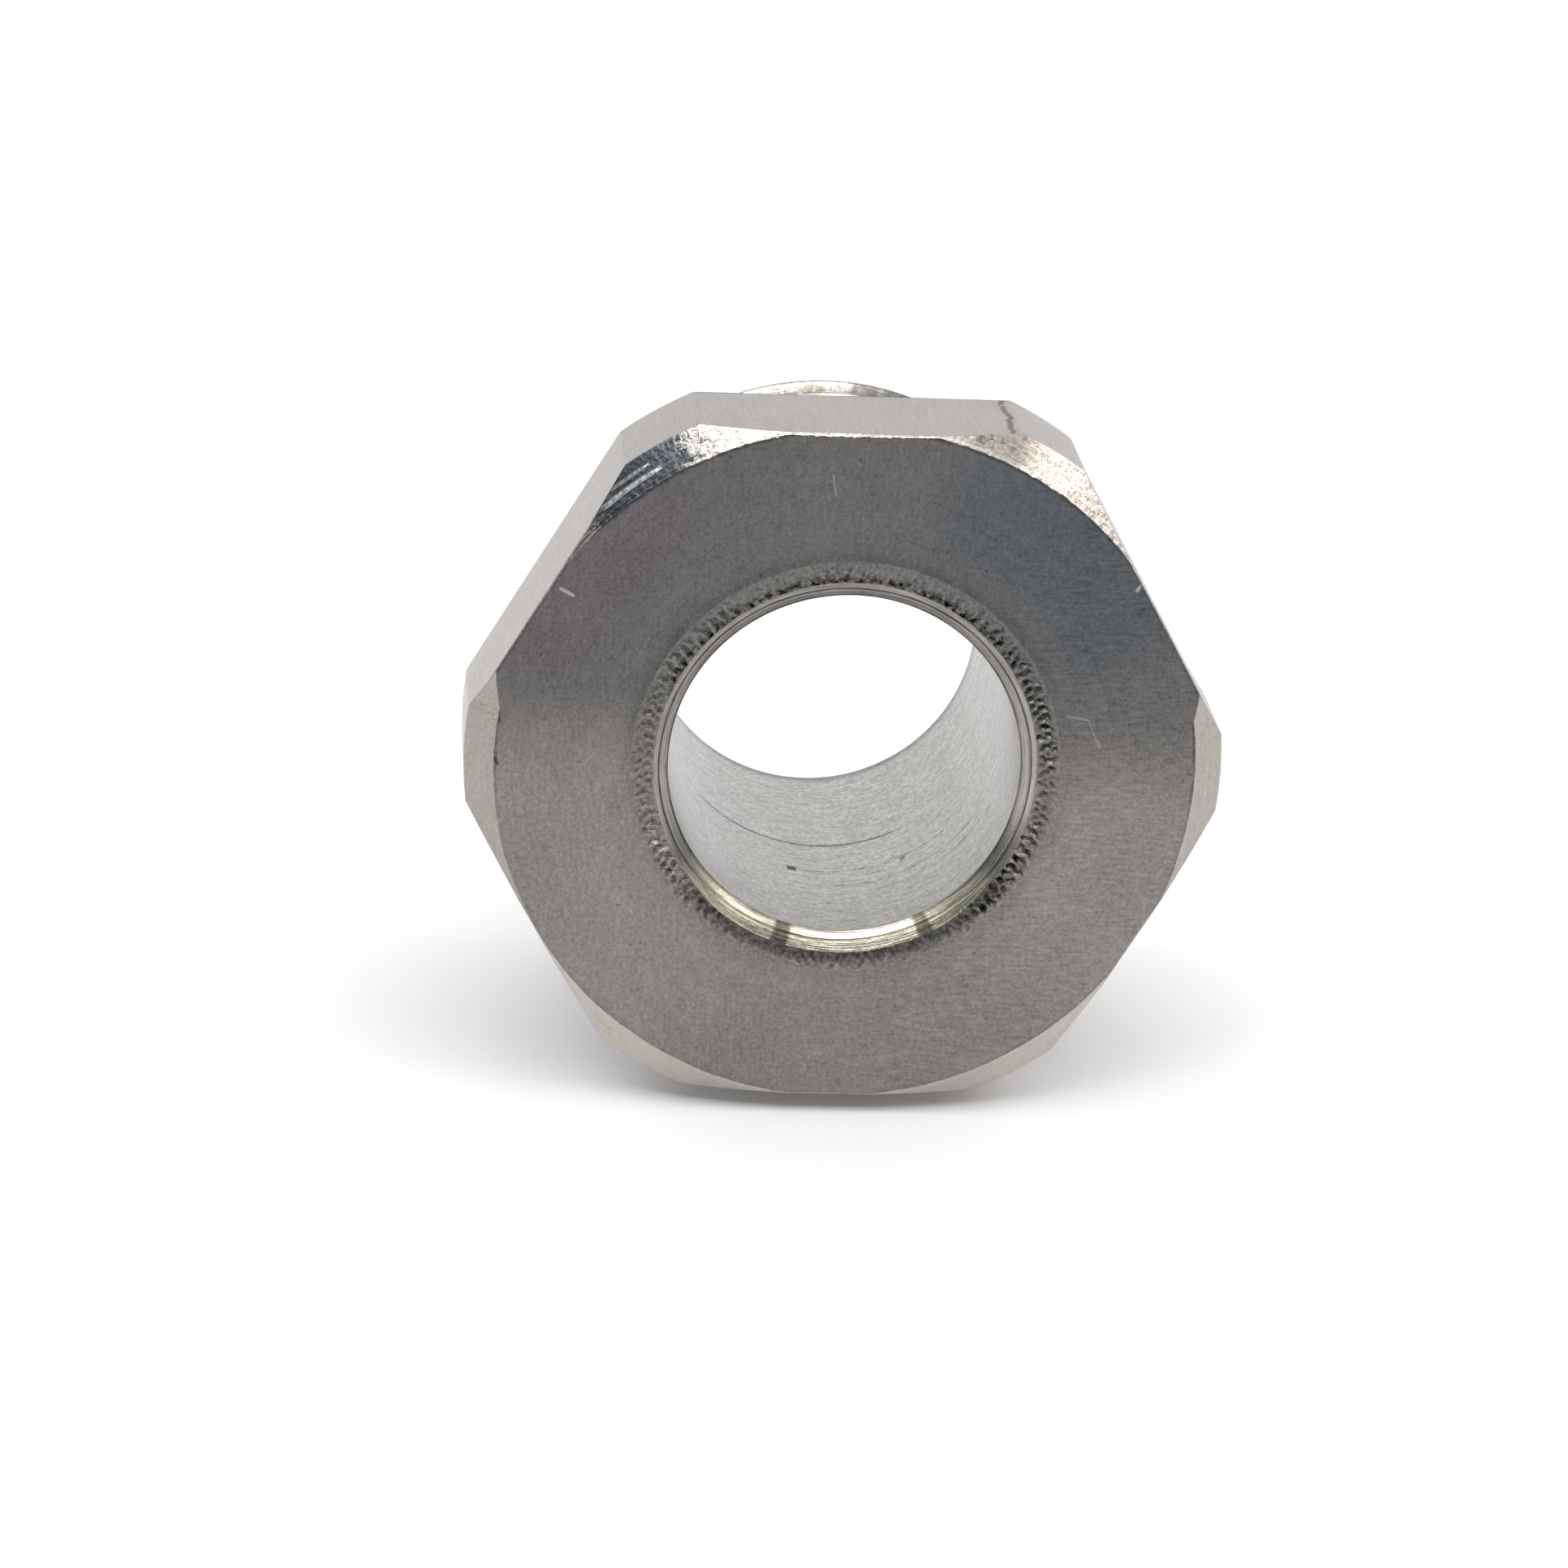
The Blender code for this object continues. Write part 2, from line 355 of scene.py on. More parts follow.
def face_material():
    """Fine-faced end: concentric tool lines crossed by a faint lay, clouded, with a few small marks, and shade
    painted darker above.
    """
    n = Nodes("steel_end_face")
    rings = n.noise(n.vec(n.math("MULTIPLY", n.r, 9.0), n.math("MULTIPLY", n.a, 1.2), 0.0), 1.0, 3, 0.6)
    rings2 = n.noise(n.vec(n.math("MULTIPLY", n.r, 26.0), n.math("MULTIPLY", n.a, 4.0), 3.0), 1.0, 2, 0.6)
    lay_v = n.noise(n.vec(n.math("MULTIPLY", n.x, 7.5), 0.0, n.math("MULTIPLY", n.z, 1.3)), 1.0, 4, 0.65)
    lay_h = n.noise(n.vec(n.math("MULTIPLY", n.x, 1.3), 5.0, n.math("MULTIPLY", n.z, 8.0)), 1.0, 4, 0.65)
    # the lay runs upright above and to the lower left, level to the right and lower right
    where = n.math("ADD", n.times(n.x, 0.16), n.times(n.z, -0.05))
    pick = n.remap(where, -0.1, 1.1, 0.0, 1.0, True)
    lay = n.math("ADD", n.times(lay_v, n.math("SUBTRACT", 1.0, pick)), n.times(lay_h, pick))
    grain = n.noise(n.vec(n.x, 0.0, n.z), 6.5, 4, 0.8)
    mottle = n.noise(n.vec(n.x, 7.0, n.z), 2.4, 3, 0.65, 0.4)
    cloud = n.noise(n.vec(n.times(n.x, 0.16), 2.0, n.times(n.z, 0.16)), 1.0, 3, 0.55)
    detail = n.sum(n.times(n.math("SUBTRACT", lay, 0.5), n.remap(pick, 0.0, 1.0, 1.3, 2.4)), n.times(n.math("SUBTRACT", grain, 0.5), 3.6),
                   n.times(n.math("SUBTRACT", rings, 0.5), 0.6), n.times(n.math("SUBTRACT", mottle, 0.5), 0.9))
    # painted shade: warm and light below, cool and dark above
    low = n.remap(n.math("ADD", n.z, n.times(n.x, 0.04)), -2.0, 3.6, 1.0, 0.0, True)
    base = n.mix(low, FACE_HIGH, FACE_LOW)
    # painted shade, tinted blue at the upper right and violet at the upper left
    cool = n.times(n.angle_band(48, 18, 13), n.remap(n.r, 8.2, 10.5, 0.25, 1.0, True))
    base = n.mix(n.times(cool, 0.9), base, FACE_COOL)
    violet = n.times(n.angle_band(143, 12, 18), n.remap(n.r, 9.0, 12.0, 0.0, 1.0, True))
    base = n.mix(n.times(violet, 0.6), base, FACE_VIOLET)
    tone = n.sum(1.0, n.times(detail, 0.46), n.times(n.math("SUBTRACT", cloud, 0.5), 0.42),
                 n.times(n.math("SUBTRACT", n.noise(n.vec(n.times(n.x, 0.45), 4.0, n.times(n.z, 0.45)), 1.0, 3, 0.6), 0.5), 0.30))
    # small dark specks
    pits = n.voronoi(n.vec(n.x, 1.0, n.z), 0.75)
    tone = n.math("MULTIPLY", tone, n.remap(pits, 0.035, 0.065, 0.62, 1.0, True))
    # the shallow band round the mouth fades out into the face; a soft darker ring lies outside it above
    collar = n.remap(n.r, 8.2, 9.3, 1.0, 0.0, True)
    line = n.times(n.band(n.r, 8.45, 0.06, 0.30), n.angle_band(105, 60, 25))
    ripple = n.noise(n.vec(n.math("MULTIPLY", n.a, 9.0), n.math("MULTIPLY", n.r, 1.2), 9.0), 1.0, 2, 0.5)
    tone = n.math("MULTIPLY", tone, n.math("SUBTRACT", 1.0, n.times(collar, 0.10)))
    tone = n.math("MULTIPLY", tone, n.math("SUBTRACT", 1.0, n.times(line, n.remap(ripple, 0.3, 0.7, 0.04, 0.24))))
    shade = n.grey(tone)
    colour = n.mix(1.0, base, shade, 'MULTIPLY')
    marks = n.math("MAXIMUM", n.dent(-11.2, 6.95, -10.75, 6.70, 0.11),
                   n.math("MAXIMUM", n.times(n.dent(-1.05, 11.7, -0.92, 10.9, 0.05), 0.45),
                          n.math("MAXIMUM", n.dent(10.82, 7.45, 11.02, 7.75, 0.10),
                                 n.math("MAXIMUM", n.times(n.dent(8.44, 2.33, 9.28, 2.20, 0.07), 0.50),
                                        n.math("MAXIMUM", n.times(n.dent(9.30, 2.16, 9.55, 1.58, 0.06), 0.26),
                                               n.times(n.dent(9.60, 1.45, 9.80, 1.12, 0.09), 0.40))))))
    colour = n.mix(n.times(marks, 0.42), colour, (0.62, 0.59, 0.58))
    # painted shade: a fine dark line along the outer edge, and a few nicks along it
    edge_rag = n.noise(n.vec(n.x, 8.0, n.z), 2.6, 3, 0.7)
    edge = n.times(n.remap(n.math("ADD", n.r, n.times(n.math("SUBTRACT", edge_rag, 0.5), 0.10)), 13.41, 13.50, 0.0, 1.0, True),
                   n.remap(n.r, 13.58, 13.64, 1.0, 0.0, True), n.remap(edge_rag, 0.35, 0.60, 0.25, 0.85, True),
                   n.math("MAXIMUM", n.remap(n.z, -3.0, 0.0, 0.0, 0.9, True), 0.25),
                   n.math("SUBTRACT", 1.0, n.math("MAXIMUM", n.angle_band(154, 17, 1.2), n.angle_band(18, 8.5, 1.2))))
    # painted shade also along the edges of the two upper flats
    for deg in (30, 150):
        away = n.math("SUBTRACT", FLATS[deg], n.math("ADD", n.times(n.x, math.cos(math.radians(deg))),
                                                     n.times(n.z, math.sin(math.radians(deg)))))
        away = n.math("ADD", away, n.times(n.math("SUBTRACT", edge_rag, 0.5), 0.14))
        edge = n.math("MAXIMUM", edge, n.remap(away, 0.04, 0.15, 0.85, 0.0, True))
    colour = n.mix(n.times(edge, 0.75), colour, (0.035, 0.034, 0.033))
    nick = n.math("MAXIMUM", n.dent(-13.50, 0.12, -13.42, -0.12, 0.09), n.times(n.dent(-13.46, 1.95, -13.36, 1.60, 0.08), 0.7))
    colour = n.mix(n.times(nick, 0.8), colour, (0.03, 0.03, 0.03))
    rough = n.sum(0.40, n.times(n.math("SUBTRACT", grain, 0.5), 0.16), n.times(n.math("SUBTRACT", cloud, 0.5), 0.10))
    height = n.sum(n.times(rings, 0.5), n.times(rings2, 0.35), n.times(lay, 0.6), n.times(grain, 0.7),
                   n.times(marks, -1.2))
    n.bsdf.inputs["Anisotropic"].default_value = 0.3
    return n.finish(colour, rough, n.bump(height, 0.6, 0.014))


# painted shade: the chatter band's colours, darker above and lighter below
COLLAR_HIGH, COLLAR_LOW = (0.150, 0.145, 0.138), (0.225, 0.214, 0.198)
# the mouth chamfer's plain colour, and the colour of its painted highlight below
MOUTH_DULL, MOUTH_PAINTED_HIGHLIGHT = (0.365, 0.350, 0.325), (0.70, 0.68, 0.545)


def collar_material():
    """Band round the bore's mouth where the tool chattered: radial ticks, with painted shade in them and painted
    highlights on their crests.
    """
    n = Nodes("steel_chatter_band")
    ticks = n.noise(n.vec(n.math("MULTIPLY", n.a, 24.0), n.math("MULTIPLY", n.r, 1.3), 0.0), 1.0, 4, 0.7, 0.9)
    crumbs = n.noise(n.vec(n.math("MULTIPLY", n.a, 30.0), n.math("MULTIPLY", n.r, 4.5), 6.0), 1.0, 3, 0.65, 0.5)
    grain = n.noise(n.vec(n.x, n.y, n.z), 6.5, 4, 0.8)
    patch = n.noise(n.vec(n.math("MULTIPLY", n.a, 1.7), n.times(n.r, 0.6), 4.0), 1.0, 2, 0.5)
    inner = n.remap(n.r, 7.55, 7.95, 1.0, 0.0, True)
    mid = n.times(n.remap(n.r, 7.42, 7.60, 0.0, 1.0, True), n.remap(n.r, 8.05, 8.3, 1.0, 0.0, True))
    # painted shade: lighter below, darker above
    low = n.remap(n.z, -3.0, 4.2, 1.0, 0.0, True)
    base = n.mix(low, COLLAR_HIGH, COLLAR_LOW)
    # painted shade in the ticks, strongest at the right and left
    side = n.math("MAXIMUM", n.angle_band(0, 36, 16), n.times(n.angle_band(188, 38, 20), 0.62))
    dark = n.times(n.remap(ticks, 0.36, 0.52, 1.0, 0.0, True), side, mid, 0.40)
    # painted shade in the chatter's valleys and a painted highlight on its crests, read from the relief attribute
    relief = n.nt.nodes.new("ShaderNodeAttribute")
    relief.attribute_name = "relief"
    painted_valley_shade = n.remap(relief.outputs["Fac"], 0.10, 0.75, 0.0, 1.0, True)
    lit = n.remap(relief.outputs["Fac"], -1.0, -0.1, 1.0, 0.0, True)
    depth = n.math("SUBTRACT", n.times(n.angle_band(2, 40, 22), -0.30), 0.22)
    top = n.times(n.angle_band(98, 46, 22), inner)
    blot = n.times(n.remap(crumbs, 0.44, 0.58, 1.0, 0.0, True), top)
    tone = n.sum(1.0, n.times(dark, -0.66), n.times(top, -0.12), n.times(blot, -0.62), n.times(painted_valley_shade, depth),
                 n.times(lit, 0.36),
                 n.times(n.math("SUBTRACT", grain, 0.5), 2.5), n.times(n.math("SUBTRACT", crumbs, 0.5), 0.8),
                 n.times(n.math("SUBTRACT", patch, 0.5), 0.4))
    below = n.times(n.angle_band(274, 46, 14), n.remap(n.r, 7.75, 8.25, 1.0, 0.0, True))
    tone = n.math("MULTIPLY", tone, n.math("SUBTRACT", 1.0, n.times(below, n.remap(crumbs, 0.35, 0.6, 0.74, 0.45))))
    right = n.times(n.angle_band(0, 32, 20), n.remap(n.r, 7.55, 7.7, 0.0, 1.0, True), n.remap(n.r, 8.0, 8.3, 1.0, 0.0, True))
    tone = n.math("MULTIPLY", tone, n.math("SUBTRACT", 1.0, n.times(right, 0.16)))
    colour = n.mix(1.0, base, n.grey(tone), 'MULTIPLY')
    height = n.sum(n.times(ticks, 1.0), n.times(crumbs, 0.5), n.times(grain, 0.4))
    return n.finish(colour, n.sum(0.27, n.times(grain, 0.12)), n.bump(height, 0.8, 0.05))


def mouth_material():
    """Chamfer inside the mouth: a rolled inner ring, a fine dark line, and a streaked lip outside it, with a painted
    highlight along its bottom.
    """
    n = Nodes("steel_mouth_chamfer")
    streak = n.noise(n.vec(n.math("MULTIPLY", n.r, 15.0), n.math("MULTIPLY", n.a, 2.6), 1.0), 1.0, 4, 0.65, 0.3)
    streak2 = n.noise(n.vec(n.math("MULTIPLY", n.r, 30.0), n.math("MULTIPLY", n.a, 5.0), 4.0), 1.0, 2, 0.6)
    grain = n.noise(n.vec(n.x, n.y, n.z), 8.0, 4, 0.7)
    line = n.band(n.r, 7.17, 0.02, 0.05)
    edge = n.band(n.r, 6.86, 0.03, 0.06)
    rim = n.band(n.r, 7.42, 0.01, 0.05)
    gaps = n.math("MAXIMUM", n.angle_band(252.5, 1.6, 1.8), n.times(n.angle_band(297.5, 1.2, 1.8), 0.95))
    tone = n.sum(1.0, n.times(n.math("SUBTRACT", streak, 0.5), 1.6), n.times(n.math("SUBTRACT", streak2, 0.5), 0.9),
                 n.times(n.math("SUBTRACT", grain, 0.5), 0.5), n.times(line, -0.40), n.times(edge, -0.5),
                 n.times(rim, -0.15))
    tone = n.math("MULTIPLY", tone, n.math("SUBTRACT", 1.0, n.times(gaps, 0.72)))
    # painted highlight: the chamfer is painted bright below and dull elsewhere
    base = n.mix(n.angle_band(269, 48, 10), MOUTH_DULL, MOUTH_PAINTED_HIGHLIGHT)
    colour = n.mix(1.0, base, n.grey(n.math("MAXIMUM", tone, 0.08)), 'MULTIPLY')
    height = n.sum(n.times(streak, 1.0), n.times(streak2, 0.4), n.times(line, -1.2), n.times(grain, 0.3))
    return n.finish(colour, n.sum(0.20, n.times(grain, 0.10)), n.bump(height, 0.7, 0.025))


def turned_material(name, base, rough, along, fine=20.0, speckle=0.0, grain_amount=0.16, bump=0.5, depth=0.01,
                    stain=0.0):
    """Turned steel: tool lines at right angles to `along` ('r' on cones and faces, 'y' on barrels)."""
    n = Nodes(name)
    run = n.r if along == 'r' else n.y
    if along == 'ry':
        run = n.math("ADD", n.r, n.y)
    lines = n.noise(n.vec(n.math("MULTIPLY", run, fine), n.math("MULTIPLY", n.a, 1.5), 1.0), 1.0, 3, 0.6)
    grain = n.noise(n.vec(n.x, n.y, n.z), 7.0, 4, 0.65)
    cloud = n.noise(n.vec(n.times(n.x, 0.3), n.times(n.y, 0.3), n.times(n.z, 0.3)), 1.0, 2, 0.5)
    tone = n.sum(1.0, n.times(n.math("SUBTRACT", lines, 0.5), grain_amount),
                 n.times(n.math("SUBTRACT", grain, 0.5), grain_amount),
                 n.times(n.math("SUBTRACT", cloud, 0.5), 0.18))
    height = n.sum(n.times(lines, 1.0), n.times(grain, 0.35))
    r_out = n.sum(rough, n.times(n.math("SUBTRACT", grain, 0.5), 0.10), n.times(n.math("SUBTRACT", cloud, 0.5), 0.06))
    if speckle > 0:
        spots = n.voronoi(n.vec(n.x, n.y, n.z), 4.5)
        height = n.sum(height, n.times(n.remap(spots, 0.1, 0.7), speckle * 2.2))
        tone = n.math("ADD", tone, n.times(n.remap(spots, 0.05, 0.45, -0.5, 0.3), speckle))
    shade = n.nt.nodes.new("ShaderNodeCombineXYZ")
    for i in range(3):
        n.link(tone, shade.inputs[i])
    colour = n.mix(1.0, base, shade.outputs[0], 'MULTIPLY')
    if stain > 0:
        # dried cutting oil in patches
        patch = n.noise(n.vec(n.times(n.x, 1.0), n.y, n.z), 0.9, 4, 0.7)
        colour = n.mix(n.times(n.remap(patch, 0.54, 0.64, 0.0, 1.0, True), stain), colour, (0.24, 0.19, 0.11))
    return n.finish(colour, r_out, n.bump(height, bump, depth))


def thread_material():
    """Cut thread: flanks with fine tool lines along the helix, crests lighter (burnish and a painted highlight),
    roots painted darker as shade, a little dried oil.
    """
    n = Nodes("steel_thread")
    lines = n.noise(n.vec(n.math("MULTIPLY", n.math("ADD", n.r, n.y), 9.0), n.math("MULTIPLY", n.a, 2.0), 1.0), 1.0, 4, 0.65)
    grain = n.noise(n.vec(n.x, n.y, n.z), 6.0, 4, 0.75)
    patch = n.noise(n.vec(n.x, n.y, n.z), 1.3, 5, 0.7)
    # crests lighter, partly burnish and partly a painted highlight; roots darker, a painted shade
    crest = n.remap(n.r, 10.22, 10.44, 0.0, 1.0, True)
    painted_root_shade = n.remap(n.r, 9.32, 9.62, 1.0, 0.0, True)
    tone = n.sum(1.0, n.times(n.math("SUBTRACT", lines, 0.5), 0.50), n.times(n.math("SUBTRACT", grain, 0.5), 0.55),
                 n.times(crest, n.remap(patch, 0.42, 0.60, 0.45, 0.10)), n.times(painted_root_shade, -0.38))
    colour = n.mix(1.0, (0.445, 0.432, 0.408), n.grey(tone), 'MULTIPLY')
    colour = n.mix(n.times(n.remap(patch, 0.57, 0.64, 0.0, 1.0, True), n.remap(crest, 0.0, 1.0, 0.30, 0.60)), colour,
                   (0.30, 0.245, 0.155))
    specks = n.noise(n.vec(n.x, n.y, n.z), 2.3, 4, 0.75, 0.6)
    speckled = n.times(n.remap(specks, 0.50, 0.57, 0.0, 0.66, True), n.angle_band(89, 22, 14))
    colour = n.mix(speckled, colour, (0.20, 0.165, 0.10))
    dull = n.times(n.angle_band(74, 8, 3), n.remap(specks, 0.36, 0.50, 0.45, 0.85, True))
    colour = n.mix(dull, colour, (0.16, 0.155, 0.14))
    height = n.sum(n.times(lines, 1.0), n.times(grain, 0.6), n.times(specks, 0.8))
    return n.finish(colour, n.sum(0.25, n.times(n.math("SUBTRACT", grain, 0.5), 0.14), n.times(crest, -0.04)),
                    n.bump(height, 0.6, 0.018))


CONE = (0.488, 0.460, 0.420)


def cone_material():
    """Outer chamfer, left rough by an interrupted cut: speckled, with a ridge and torn edges; a painted highlight on
    the ridge and painted highlights, reflections and shade in bands round it.
    """
    n = Nodes("steel_outer_chamfer")
    lines = n.noise(n.vec(n.math("MULTIPLY", n.r, 9.0), n.math("MULTIPLY", n.a, 3.0), 1.0), 1.0, 4, 0.65, 0.3)
    grain = n.noise(n.vec(n.x, n.y, n.z), 6.5, 4, 0.75)
    crumbs = n.noise(n.vec(n.x, n.y, n.z), 2.6, 4, 0.7, 0.5)
    spots = n.voronoi(n.vec(n.x, n.y, n.z), 5.0)
    # painted highlight: a white band at the top; painted reflection: a peach band at the upper right
    white = n.angle_band(104, 13.0, 2.5)
    painted_peach_reflection = n.angle_band(50, 11.5, 4)
    torn = n.math("MAXIMUM", n.times(white, 1.1), painted_peach_reflection)
    tone = n.sum(1.0, n.times(n.math("SUBTRACT", lines, 0.5), 0.40), n.times(n.math("SUBTRACT", grain, 0.5), 0.70),
                 n.times(torn, n.remap(crumbs, 0.36, 0.50, -0.30, 0.08)), n.times(torn, n.remap(spots, 0.08, 0.30, -0.30, 0.05)))
    side = n.math("MAXIMUM", n.times(n.angle_band(0, 22, 10), 0.22), n.times(n.angle_band(180, 22, 10), 0.31))
    tone = n.math("MULTIPLY", tone, n.math("SUBTRACT", 1.0, side))
    # painted shade: a dark navy band at the upper left
    fray = n.times(n.math("SUBTRACT", crumbs, 0.5), 0.45)
    painted_navy_shade = n.remap(n.math("COSINE", n.math("ADD", n.math("SUBTRACT", n.a, math.radians(127)), fray)),
                   math.cos(math.radians(11.0)), math.cos(math.radians(7.5)), 0.0, 1.0, True)
    # painted highlight along a ridge at the upper left
    ridge = n.times(n.band(n.r, 14.0, 0.04, 0.07), n.angle_band(128.5, 4.5, 1.5))
    ridge = n.math("MAXIMUM", ridge, n.times(n.band(n.r, 14.3, 0.02, 0.05), n.angle_band(128, 2.5, 1.5), 0.8))
    base = n.mix(painted_peach_reflection, CONE, (0.77, 0.70, 0.645))
    base = n.mix(white, base, (0.66, 0.62, 0.545))
    base = n.mix(n.times(painted_navy_shade, 0.94), base, (0.085, 0.098, 0.118))
    # a dark band near the outer edge at about 68 degrees
    dark_band = n.times(n.remap(n.math("COSINE", n.math("ADD", n.math("SUBTRACT", n.a, math.radians(68.5)), n.times(fray, 0.7))),
                            math.cos(math.radians(8.5)), math.cos(math.radians(5.0)), 0.0, 1.0, True),
                    n.remap(n.math("ADD", n.r, n.times(n.math("SUBTRACT", crumbs, 0.5), 0.5)), 13.62, 13.80, 0.25, 1.0, True),
                    n.remap(crumbs, 0.34, 0.50, 1.0, 0.45, True))
    base = n.mix(n.times(dark_band, 0.9), base, (0.105, 0.100, 0.090))
    colour = n.mix(1.0, base, n.grey(n.math("MAXIMUM", tone, 0.08)), 'MULTIPLY')
    colour = n.mix(n.times(ridge, n.remap(grain, 0.40, 0.55, 0.25, 0.62)), colour, (0.80, 0.79, 0.75))
    height = n.sum(n.times(lines, 1.0), n.times(grain, 0.6), n.times(spots, 0.5), n.times(torn, crumbs, 2.0),
                   n.times(ridge, 3.0))
    return n.finish(colour, n.sum(0.19, n.times(n.math("SUBTRACT", grain, 0.5), 0.14)), n.bump(height, 0.8, 0.03))


def flat_material(name, base, dark_edges_and_line=False):
    """Drawn hexagon bar: satin, with a faint lay along the bar and small handling marks."""
    n = Nodes(name)
    lay = n.noise(n.vec(n.math("MULTIPLY", n.x, 7.0), n.math("MULTIPLY", n.y, 0.8), n.math("MULTIPLY", n.z, 7.0)),
                  1.0, 4, 0.6)
    grain = n.noise(n.vec(n.x, n.y, n.z), 8.0, 4, 0.65)
    cloud = n.noise(n.vec(n.times(n.x, 0.22), n.times(n.y, 0.22), n.times(n.z, 0.22)), 1.0, 2, 0.5)
    tone = n.sum(1.0, n.times(n.math("SUBTRACT", lay, 0.5), 0.40), n.times(n.math("SUBTRACT", grain, 0.5), 0.85),
                 n.times(n.math("SUBTRACT", cloud, 0.5), 0.16))
    shade = n.nt.nodes.new("ShaderNodeCombineXYZ")
    for i in range(3):
        n.link(tone, shade.inputs[i])
    tint = n.mix(n.remap(cloud, 0.35, 0.65, 0.0, 1.0, True), base, (base[0] * 1.01, base[1] * 0.995, base[2] * 0.98))
    colour = n.mix(1.0, tint, shade.outputs[0], 'MULTIPLY')
    height = n.sum(n.times(lay, 0.7), n.times(grain, 0.4))
    if dark_edges_and_line:
        # painted shade: ragged dark edges where the side flats meet the front face, and a painted shadow line along
        # the top flat's back edge
        rag = n.noise(n.vec(n.x, n.y, n.z), 3.2, 3, 0.7)
        front = n.times(n.remap(n.math("ADD", n.y, n.times(n.math("SUBTRACT", rag, 0.5), 0.35)), 0.06, 0.30, 1.0, 0.0, True),
                        n.math("SUBTRACT", 1.0, n.angle_band(90, 27, 3)))
        rear = n.times(n.remap(n.y, 5.33, 5.55, 0.0, 1.0, True), n.angle_band(90, 25, 4), n.remap(rag, 0.35, 0.60, 0.35, 0.75, True))
        colour = n.mix(n.math("MAXIMUM", n.times(front, 0.78), rear), colour, (0.075, 0.070, 0.066))
        # a dark irregular line, pressed in a little, where the top flat runs out at its right-hand corner
        wander = n.noise(n.vec(0.0, n.math("MULTIPLY", n.y, 0.55), 3.0), 1.0, 4, 0.75)
        at = n.math("ADD", 5.80, n.times(n.math("SUBTRACT", wander, 0.5), 0.9))
        burr = n.times(n.remap(n.math("ABSOLUTE", n.math("SUBTRACT", n.x, at)), 0.06, 0.17, 1.0, 0.0, True),
                       n.remap(n.z, 11.0, 12.5, 0.0, 1.0, True), n.remap(wander, 0.32, 0.44, 0.35, 1.0, True))
        colour = n.mix(n.times(burr, 0.80), colour, (0.08, 0.072, 0.065))
        height = n.math("SUBTRACT", height, n.times(burr, 2.0))
    return n.finish(colour, n.sum(0.36, n.times(n.math("SUBTRACT", grain, 0.5), 0.10)), n.bump(height, 0.4, 0.01))


def bore_material():
    """Reamed bore: pale and satin, with a few rings and specks left by the tool."""
    n = Nodes("steel_bore")
    lines = n.noise(n.vec(n.math("MULTIPLY", n.y, 4.2), n.math("MULTIPLY", n.a, 5.0), 1.0), 1.0, 4, 0.7, 0.3)
    grain = n.noise(n.vec(n.x, n.times(n.y, 0.8), n.z), 5.0, 4, 0.75)
    ring = n.times(n.band(n.y, 10.35, 0.05, 0.09), n.angle_band(262, 30, 14))
    rag = n.noise(n.vec(n.math("MULTIPLY", n.a, 14.0), n.math("MULTIPLY", n.y, 1.5), 2.0), 1.0, 3, 0.6)
    ring2 = n.times(n.band(n.y, 7.25, 0.03, 0.08), n.angle_band(292, 24, 8), n.remap(rag, 0.42, 0.55))
    ring3 = n.times(n.band(n.y, 5.6, 0.05, 0.16), n.angle_band(298, 22, 14), n.remap(rag, 0.35, 0.6))
    ring4 = n.times(n.band(n.y, 4.6, 0.04, 0.2), n.angle_band(312, 20, 12), n.remap(rag, 0.40, 0.6))
    ring5 = n.times(n.band(n.y, 9.0, 0.02, 0.1), n.angle_band(285, 26, 10), n.remap(rag, 0.45, 0.65))
    marks = n.math("MAXIMUM", ring, n.math("MAXIMUM", n.times(ring2, 0.8),
                   n.math("MAXIMUM", n.times(ring3, 0.55), n.math("MAXIMUM", n.times(ring4, 0.5), n.times(ring5, 0.35)))))
    spot1 = n.times(n.band(n.y, 7.25, 0.16, 0.14), n.angle_band(259, 1.0, 0.9))
    spot2 = n.times(n.band(n.y, 7.0, 0.12, 0.12), n.angle_band(297, 0.6, 0.8))
    marks = n.math("MAXIMUM", marks, n.math("MAXIMUM", n.times(spot1, 1.5), spot2))
    near = n.remap(n.y, 0.5, 6.0, 0.88, 1.0, True)
    end = n.remap(n.y, LENGTH - 1.3, LENGTH - 0.6, 1.0, 0.52, True)
    sides = n.remap(n.math("SINE", n.a), -0.9, -0.1, 1.0, 0.84, True)
    tone = n.times(n.sum(1.0, n.times(n.math("SUBTRACT", lines, 0.5), 1.25), n.times(n.math("SUBTRACT", grain, 0.5), 1.9),
                         n.times(marks, -0.70)), near, end, sides)
    shade = n.nt.nodes.new("ShaderNodeCombineXYZ")
    for i in range(3):
        n.link(tone, shade.inputs[i])
    colour = n.mix(1.0, (0.488, 0.468, 0.446), shade.outputs[0], 'MULTIPLY')
    height = n.sum(n.times(lines, 0.8), n.times(grain, 0.4), n.times(marks, -1.0))
    return n.finish(colour, n.sum(0.32, n.times(n.math("SUBTRACT", grain, 0.5), 0.12)), n.bump(height, 0.5, 0.014))


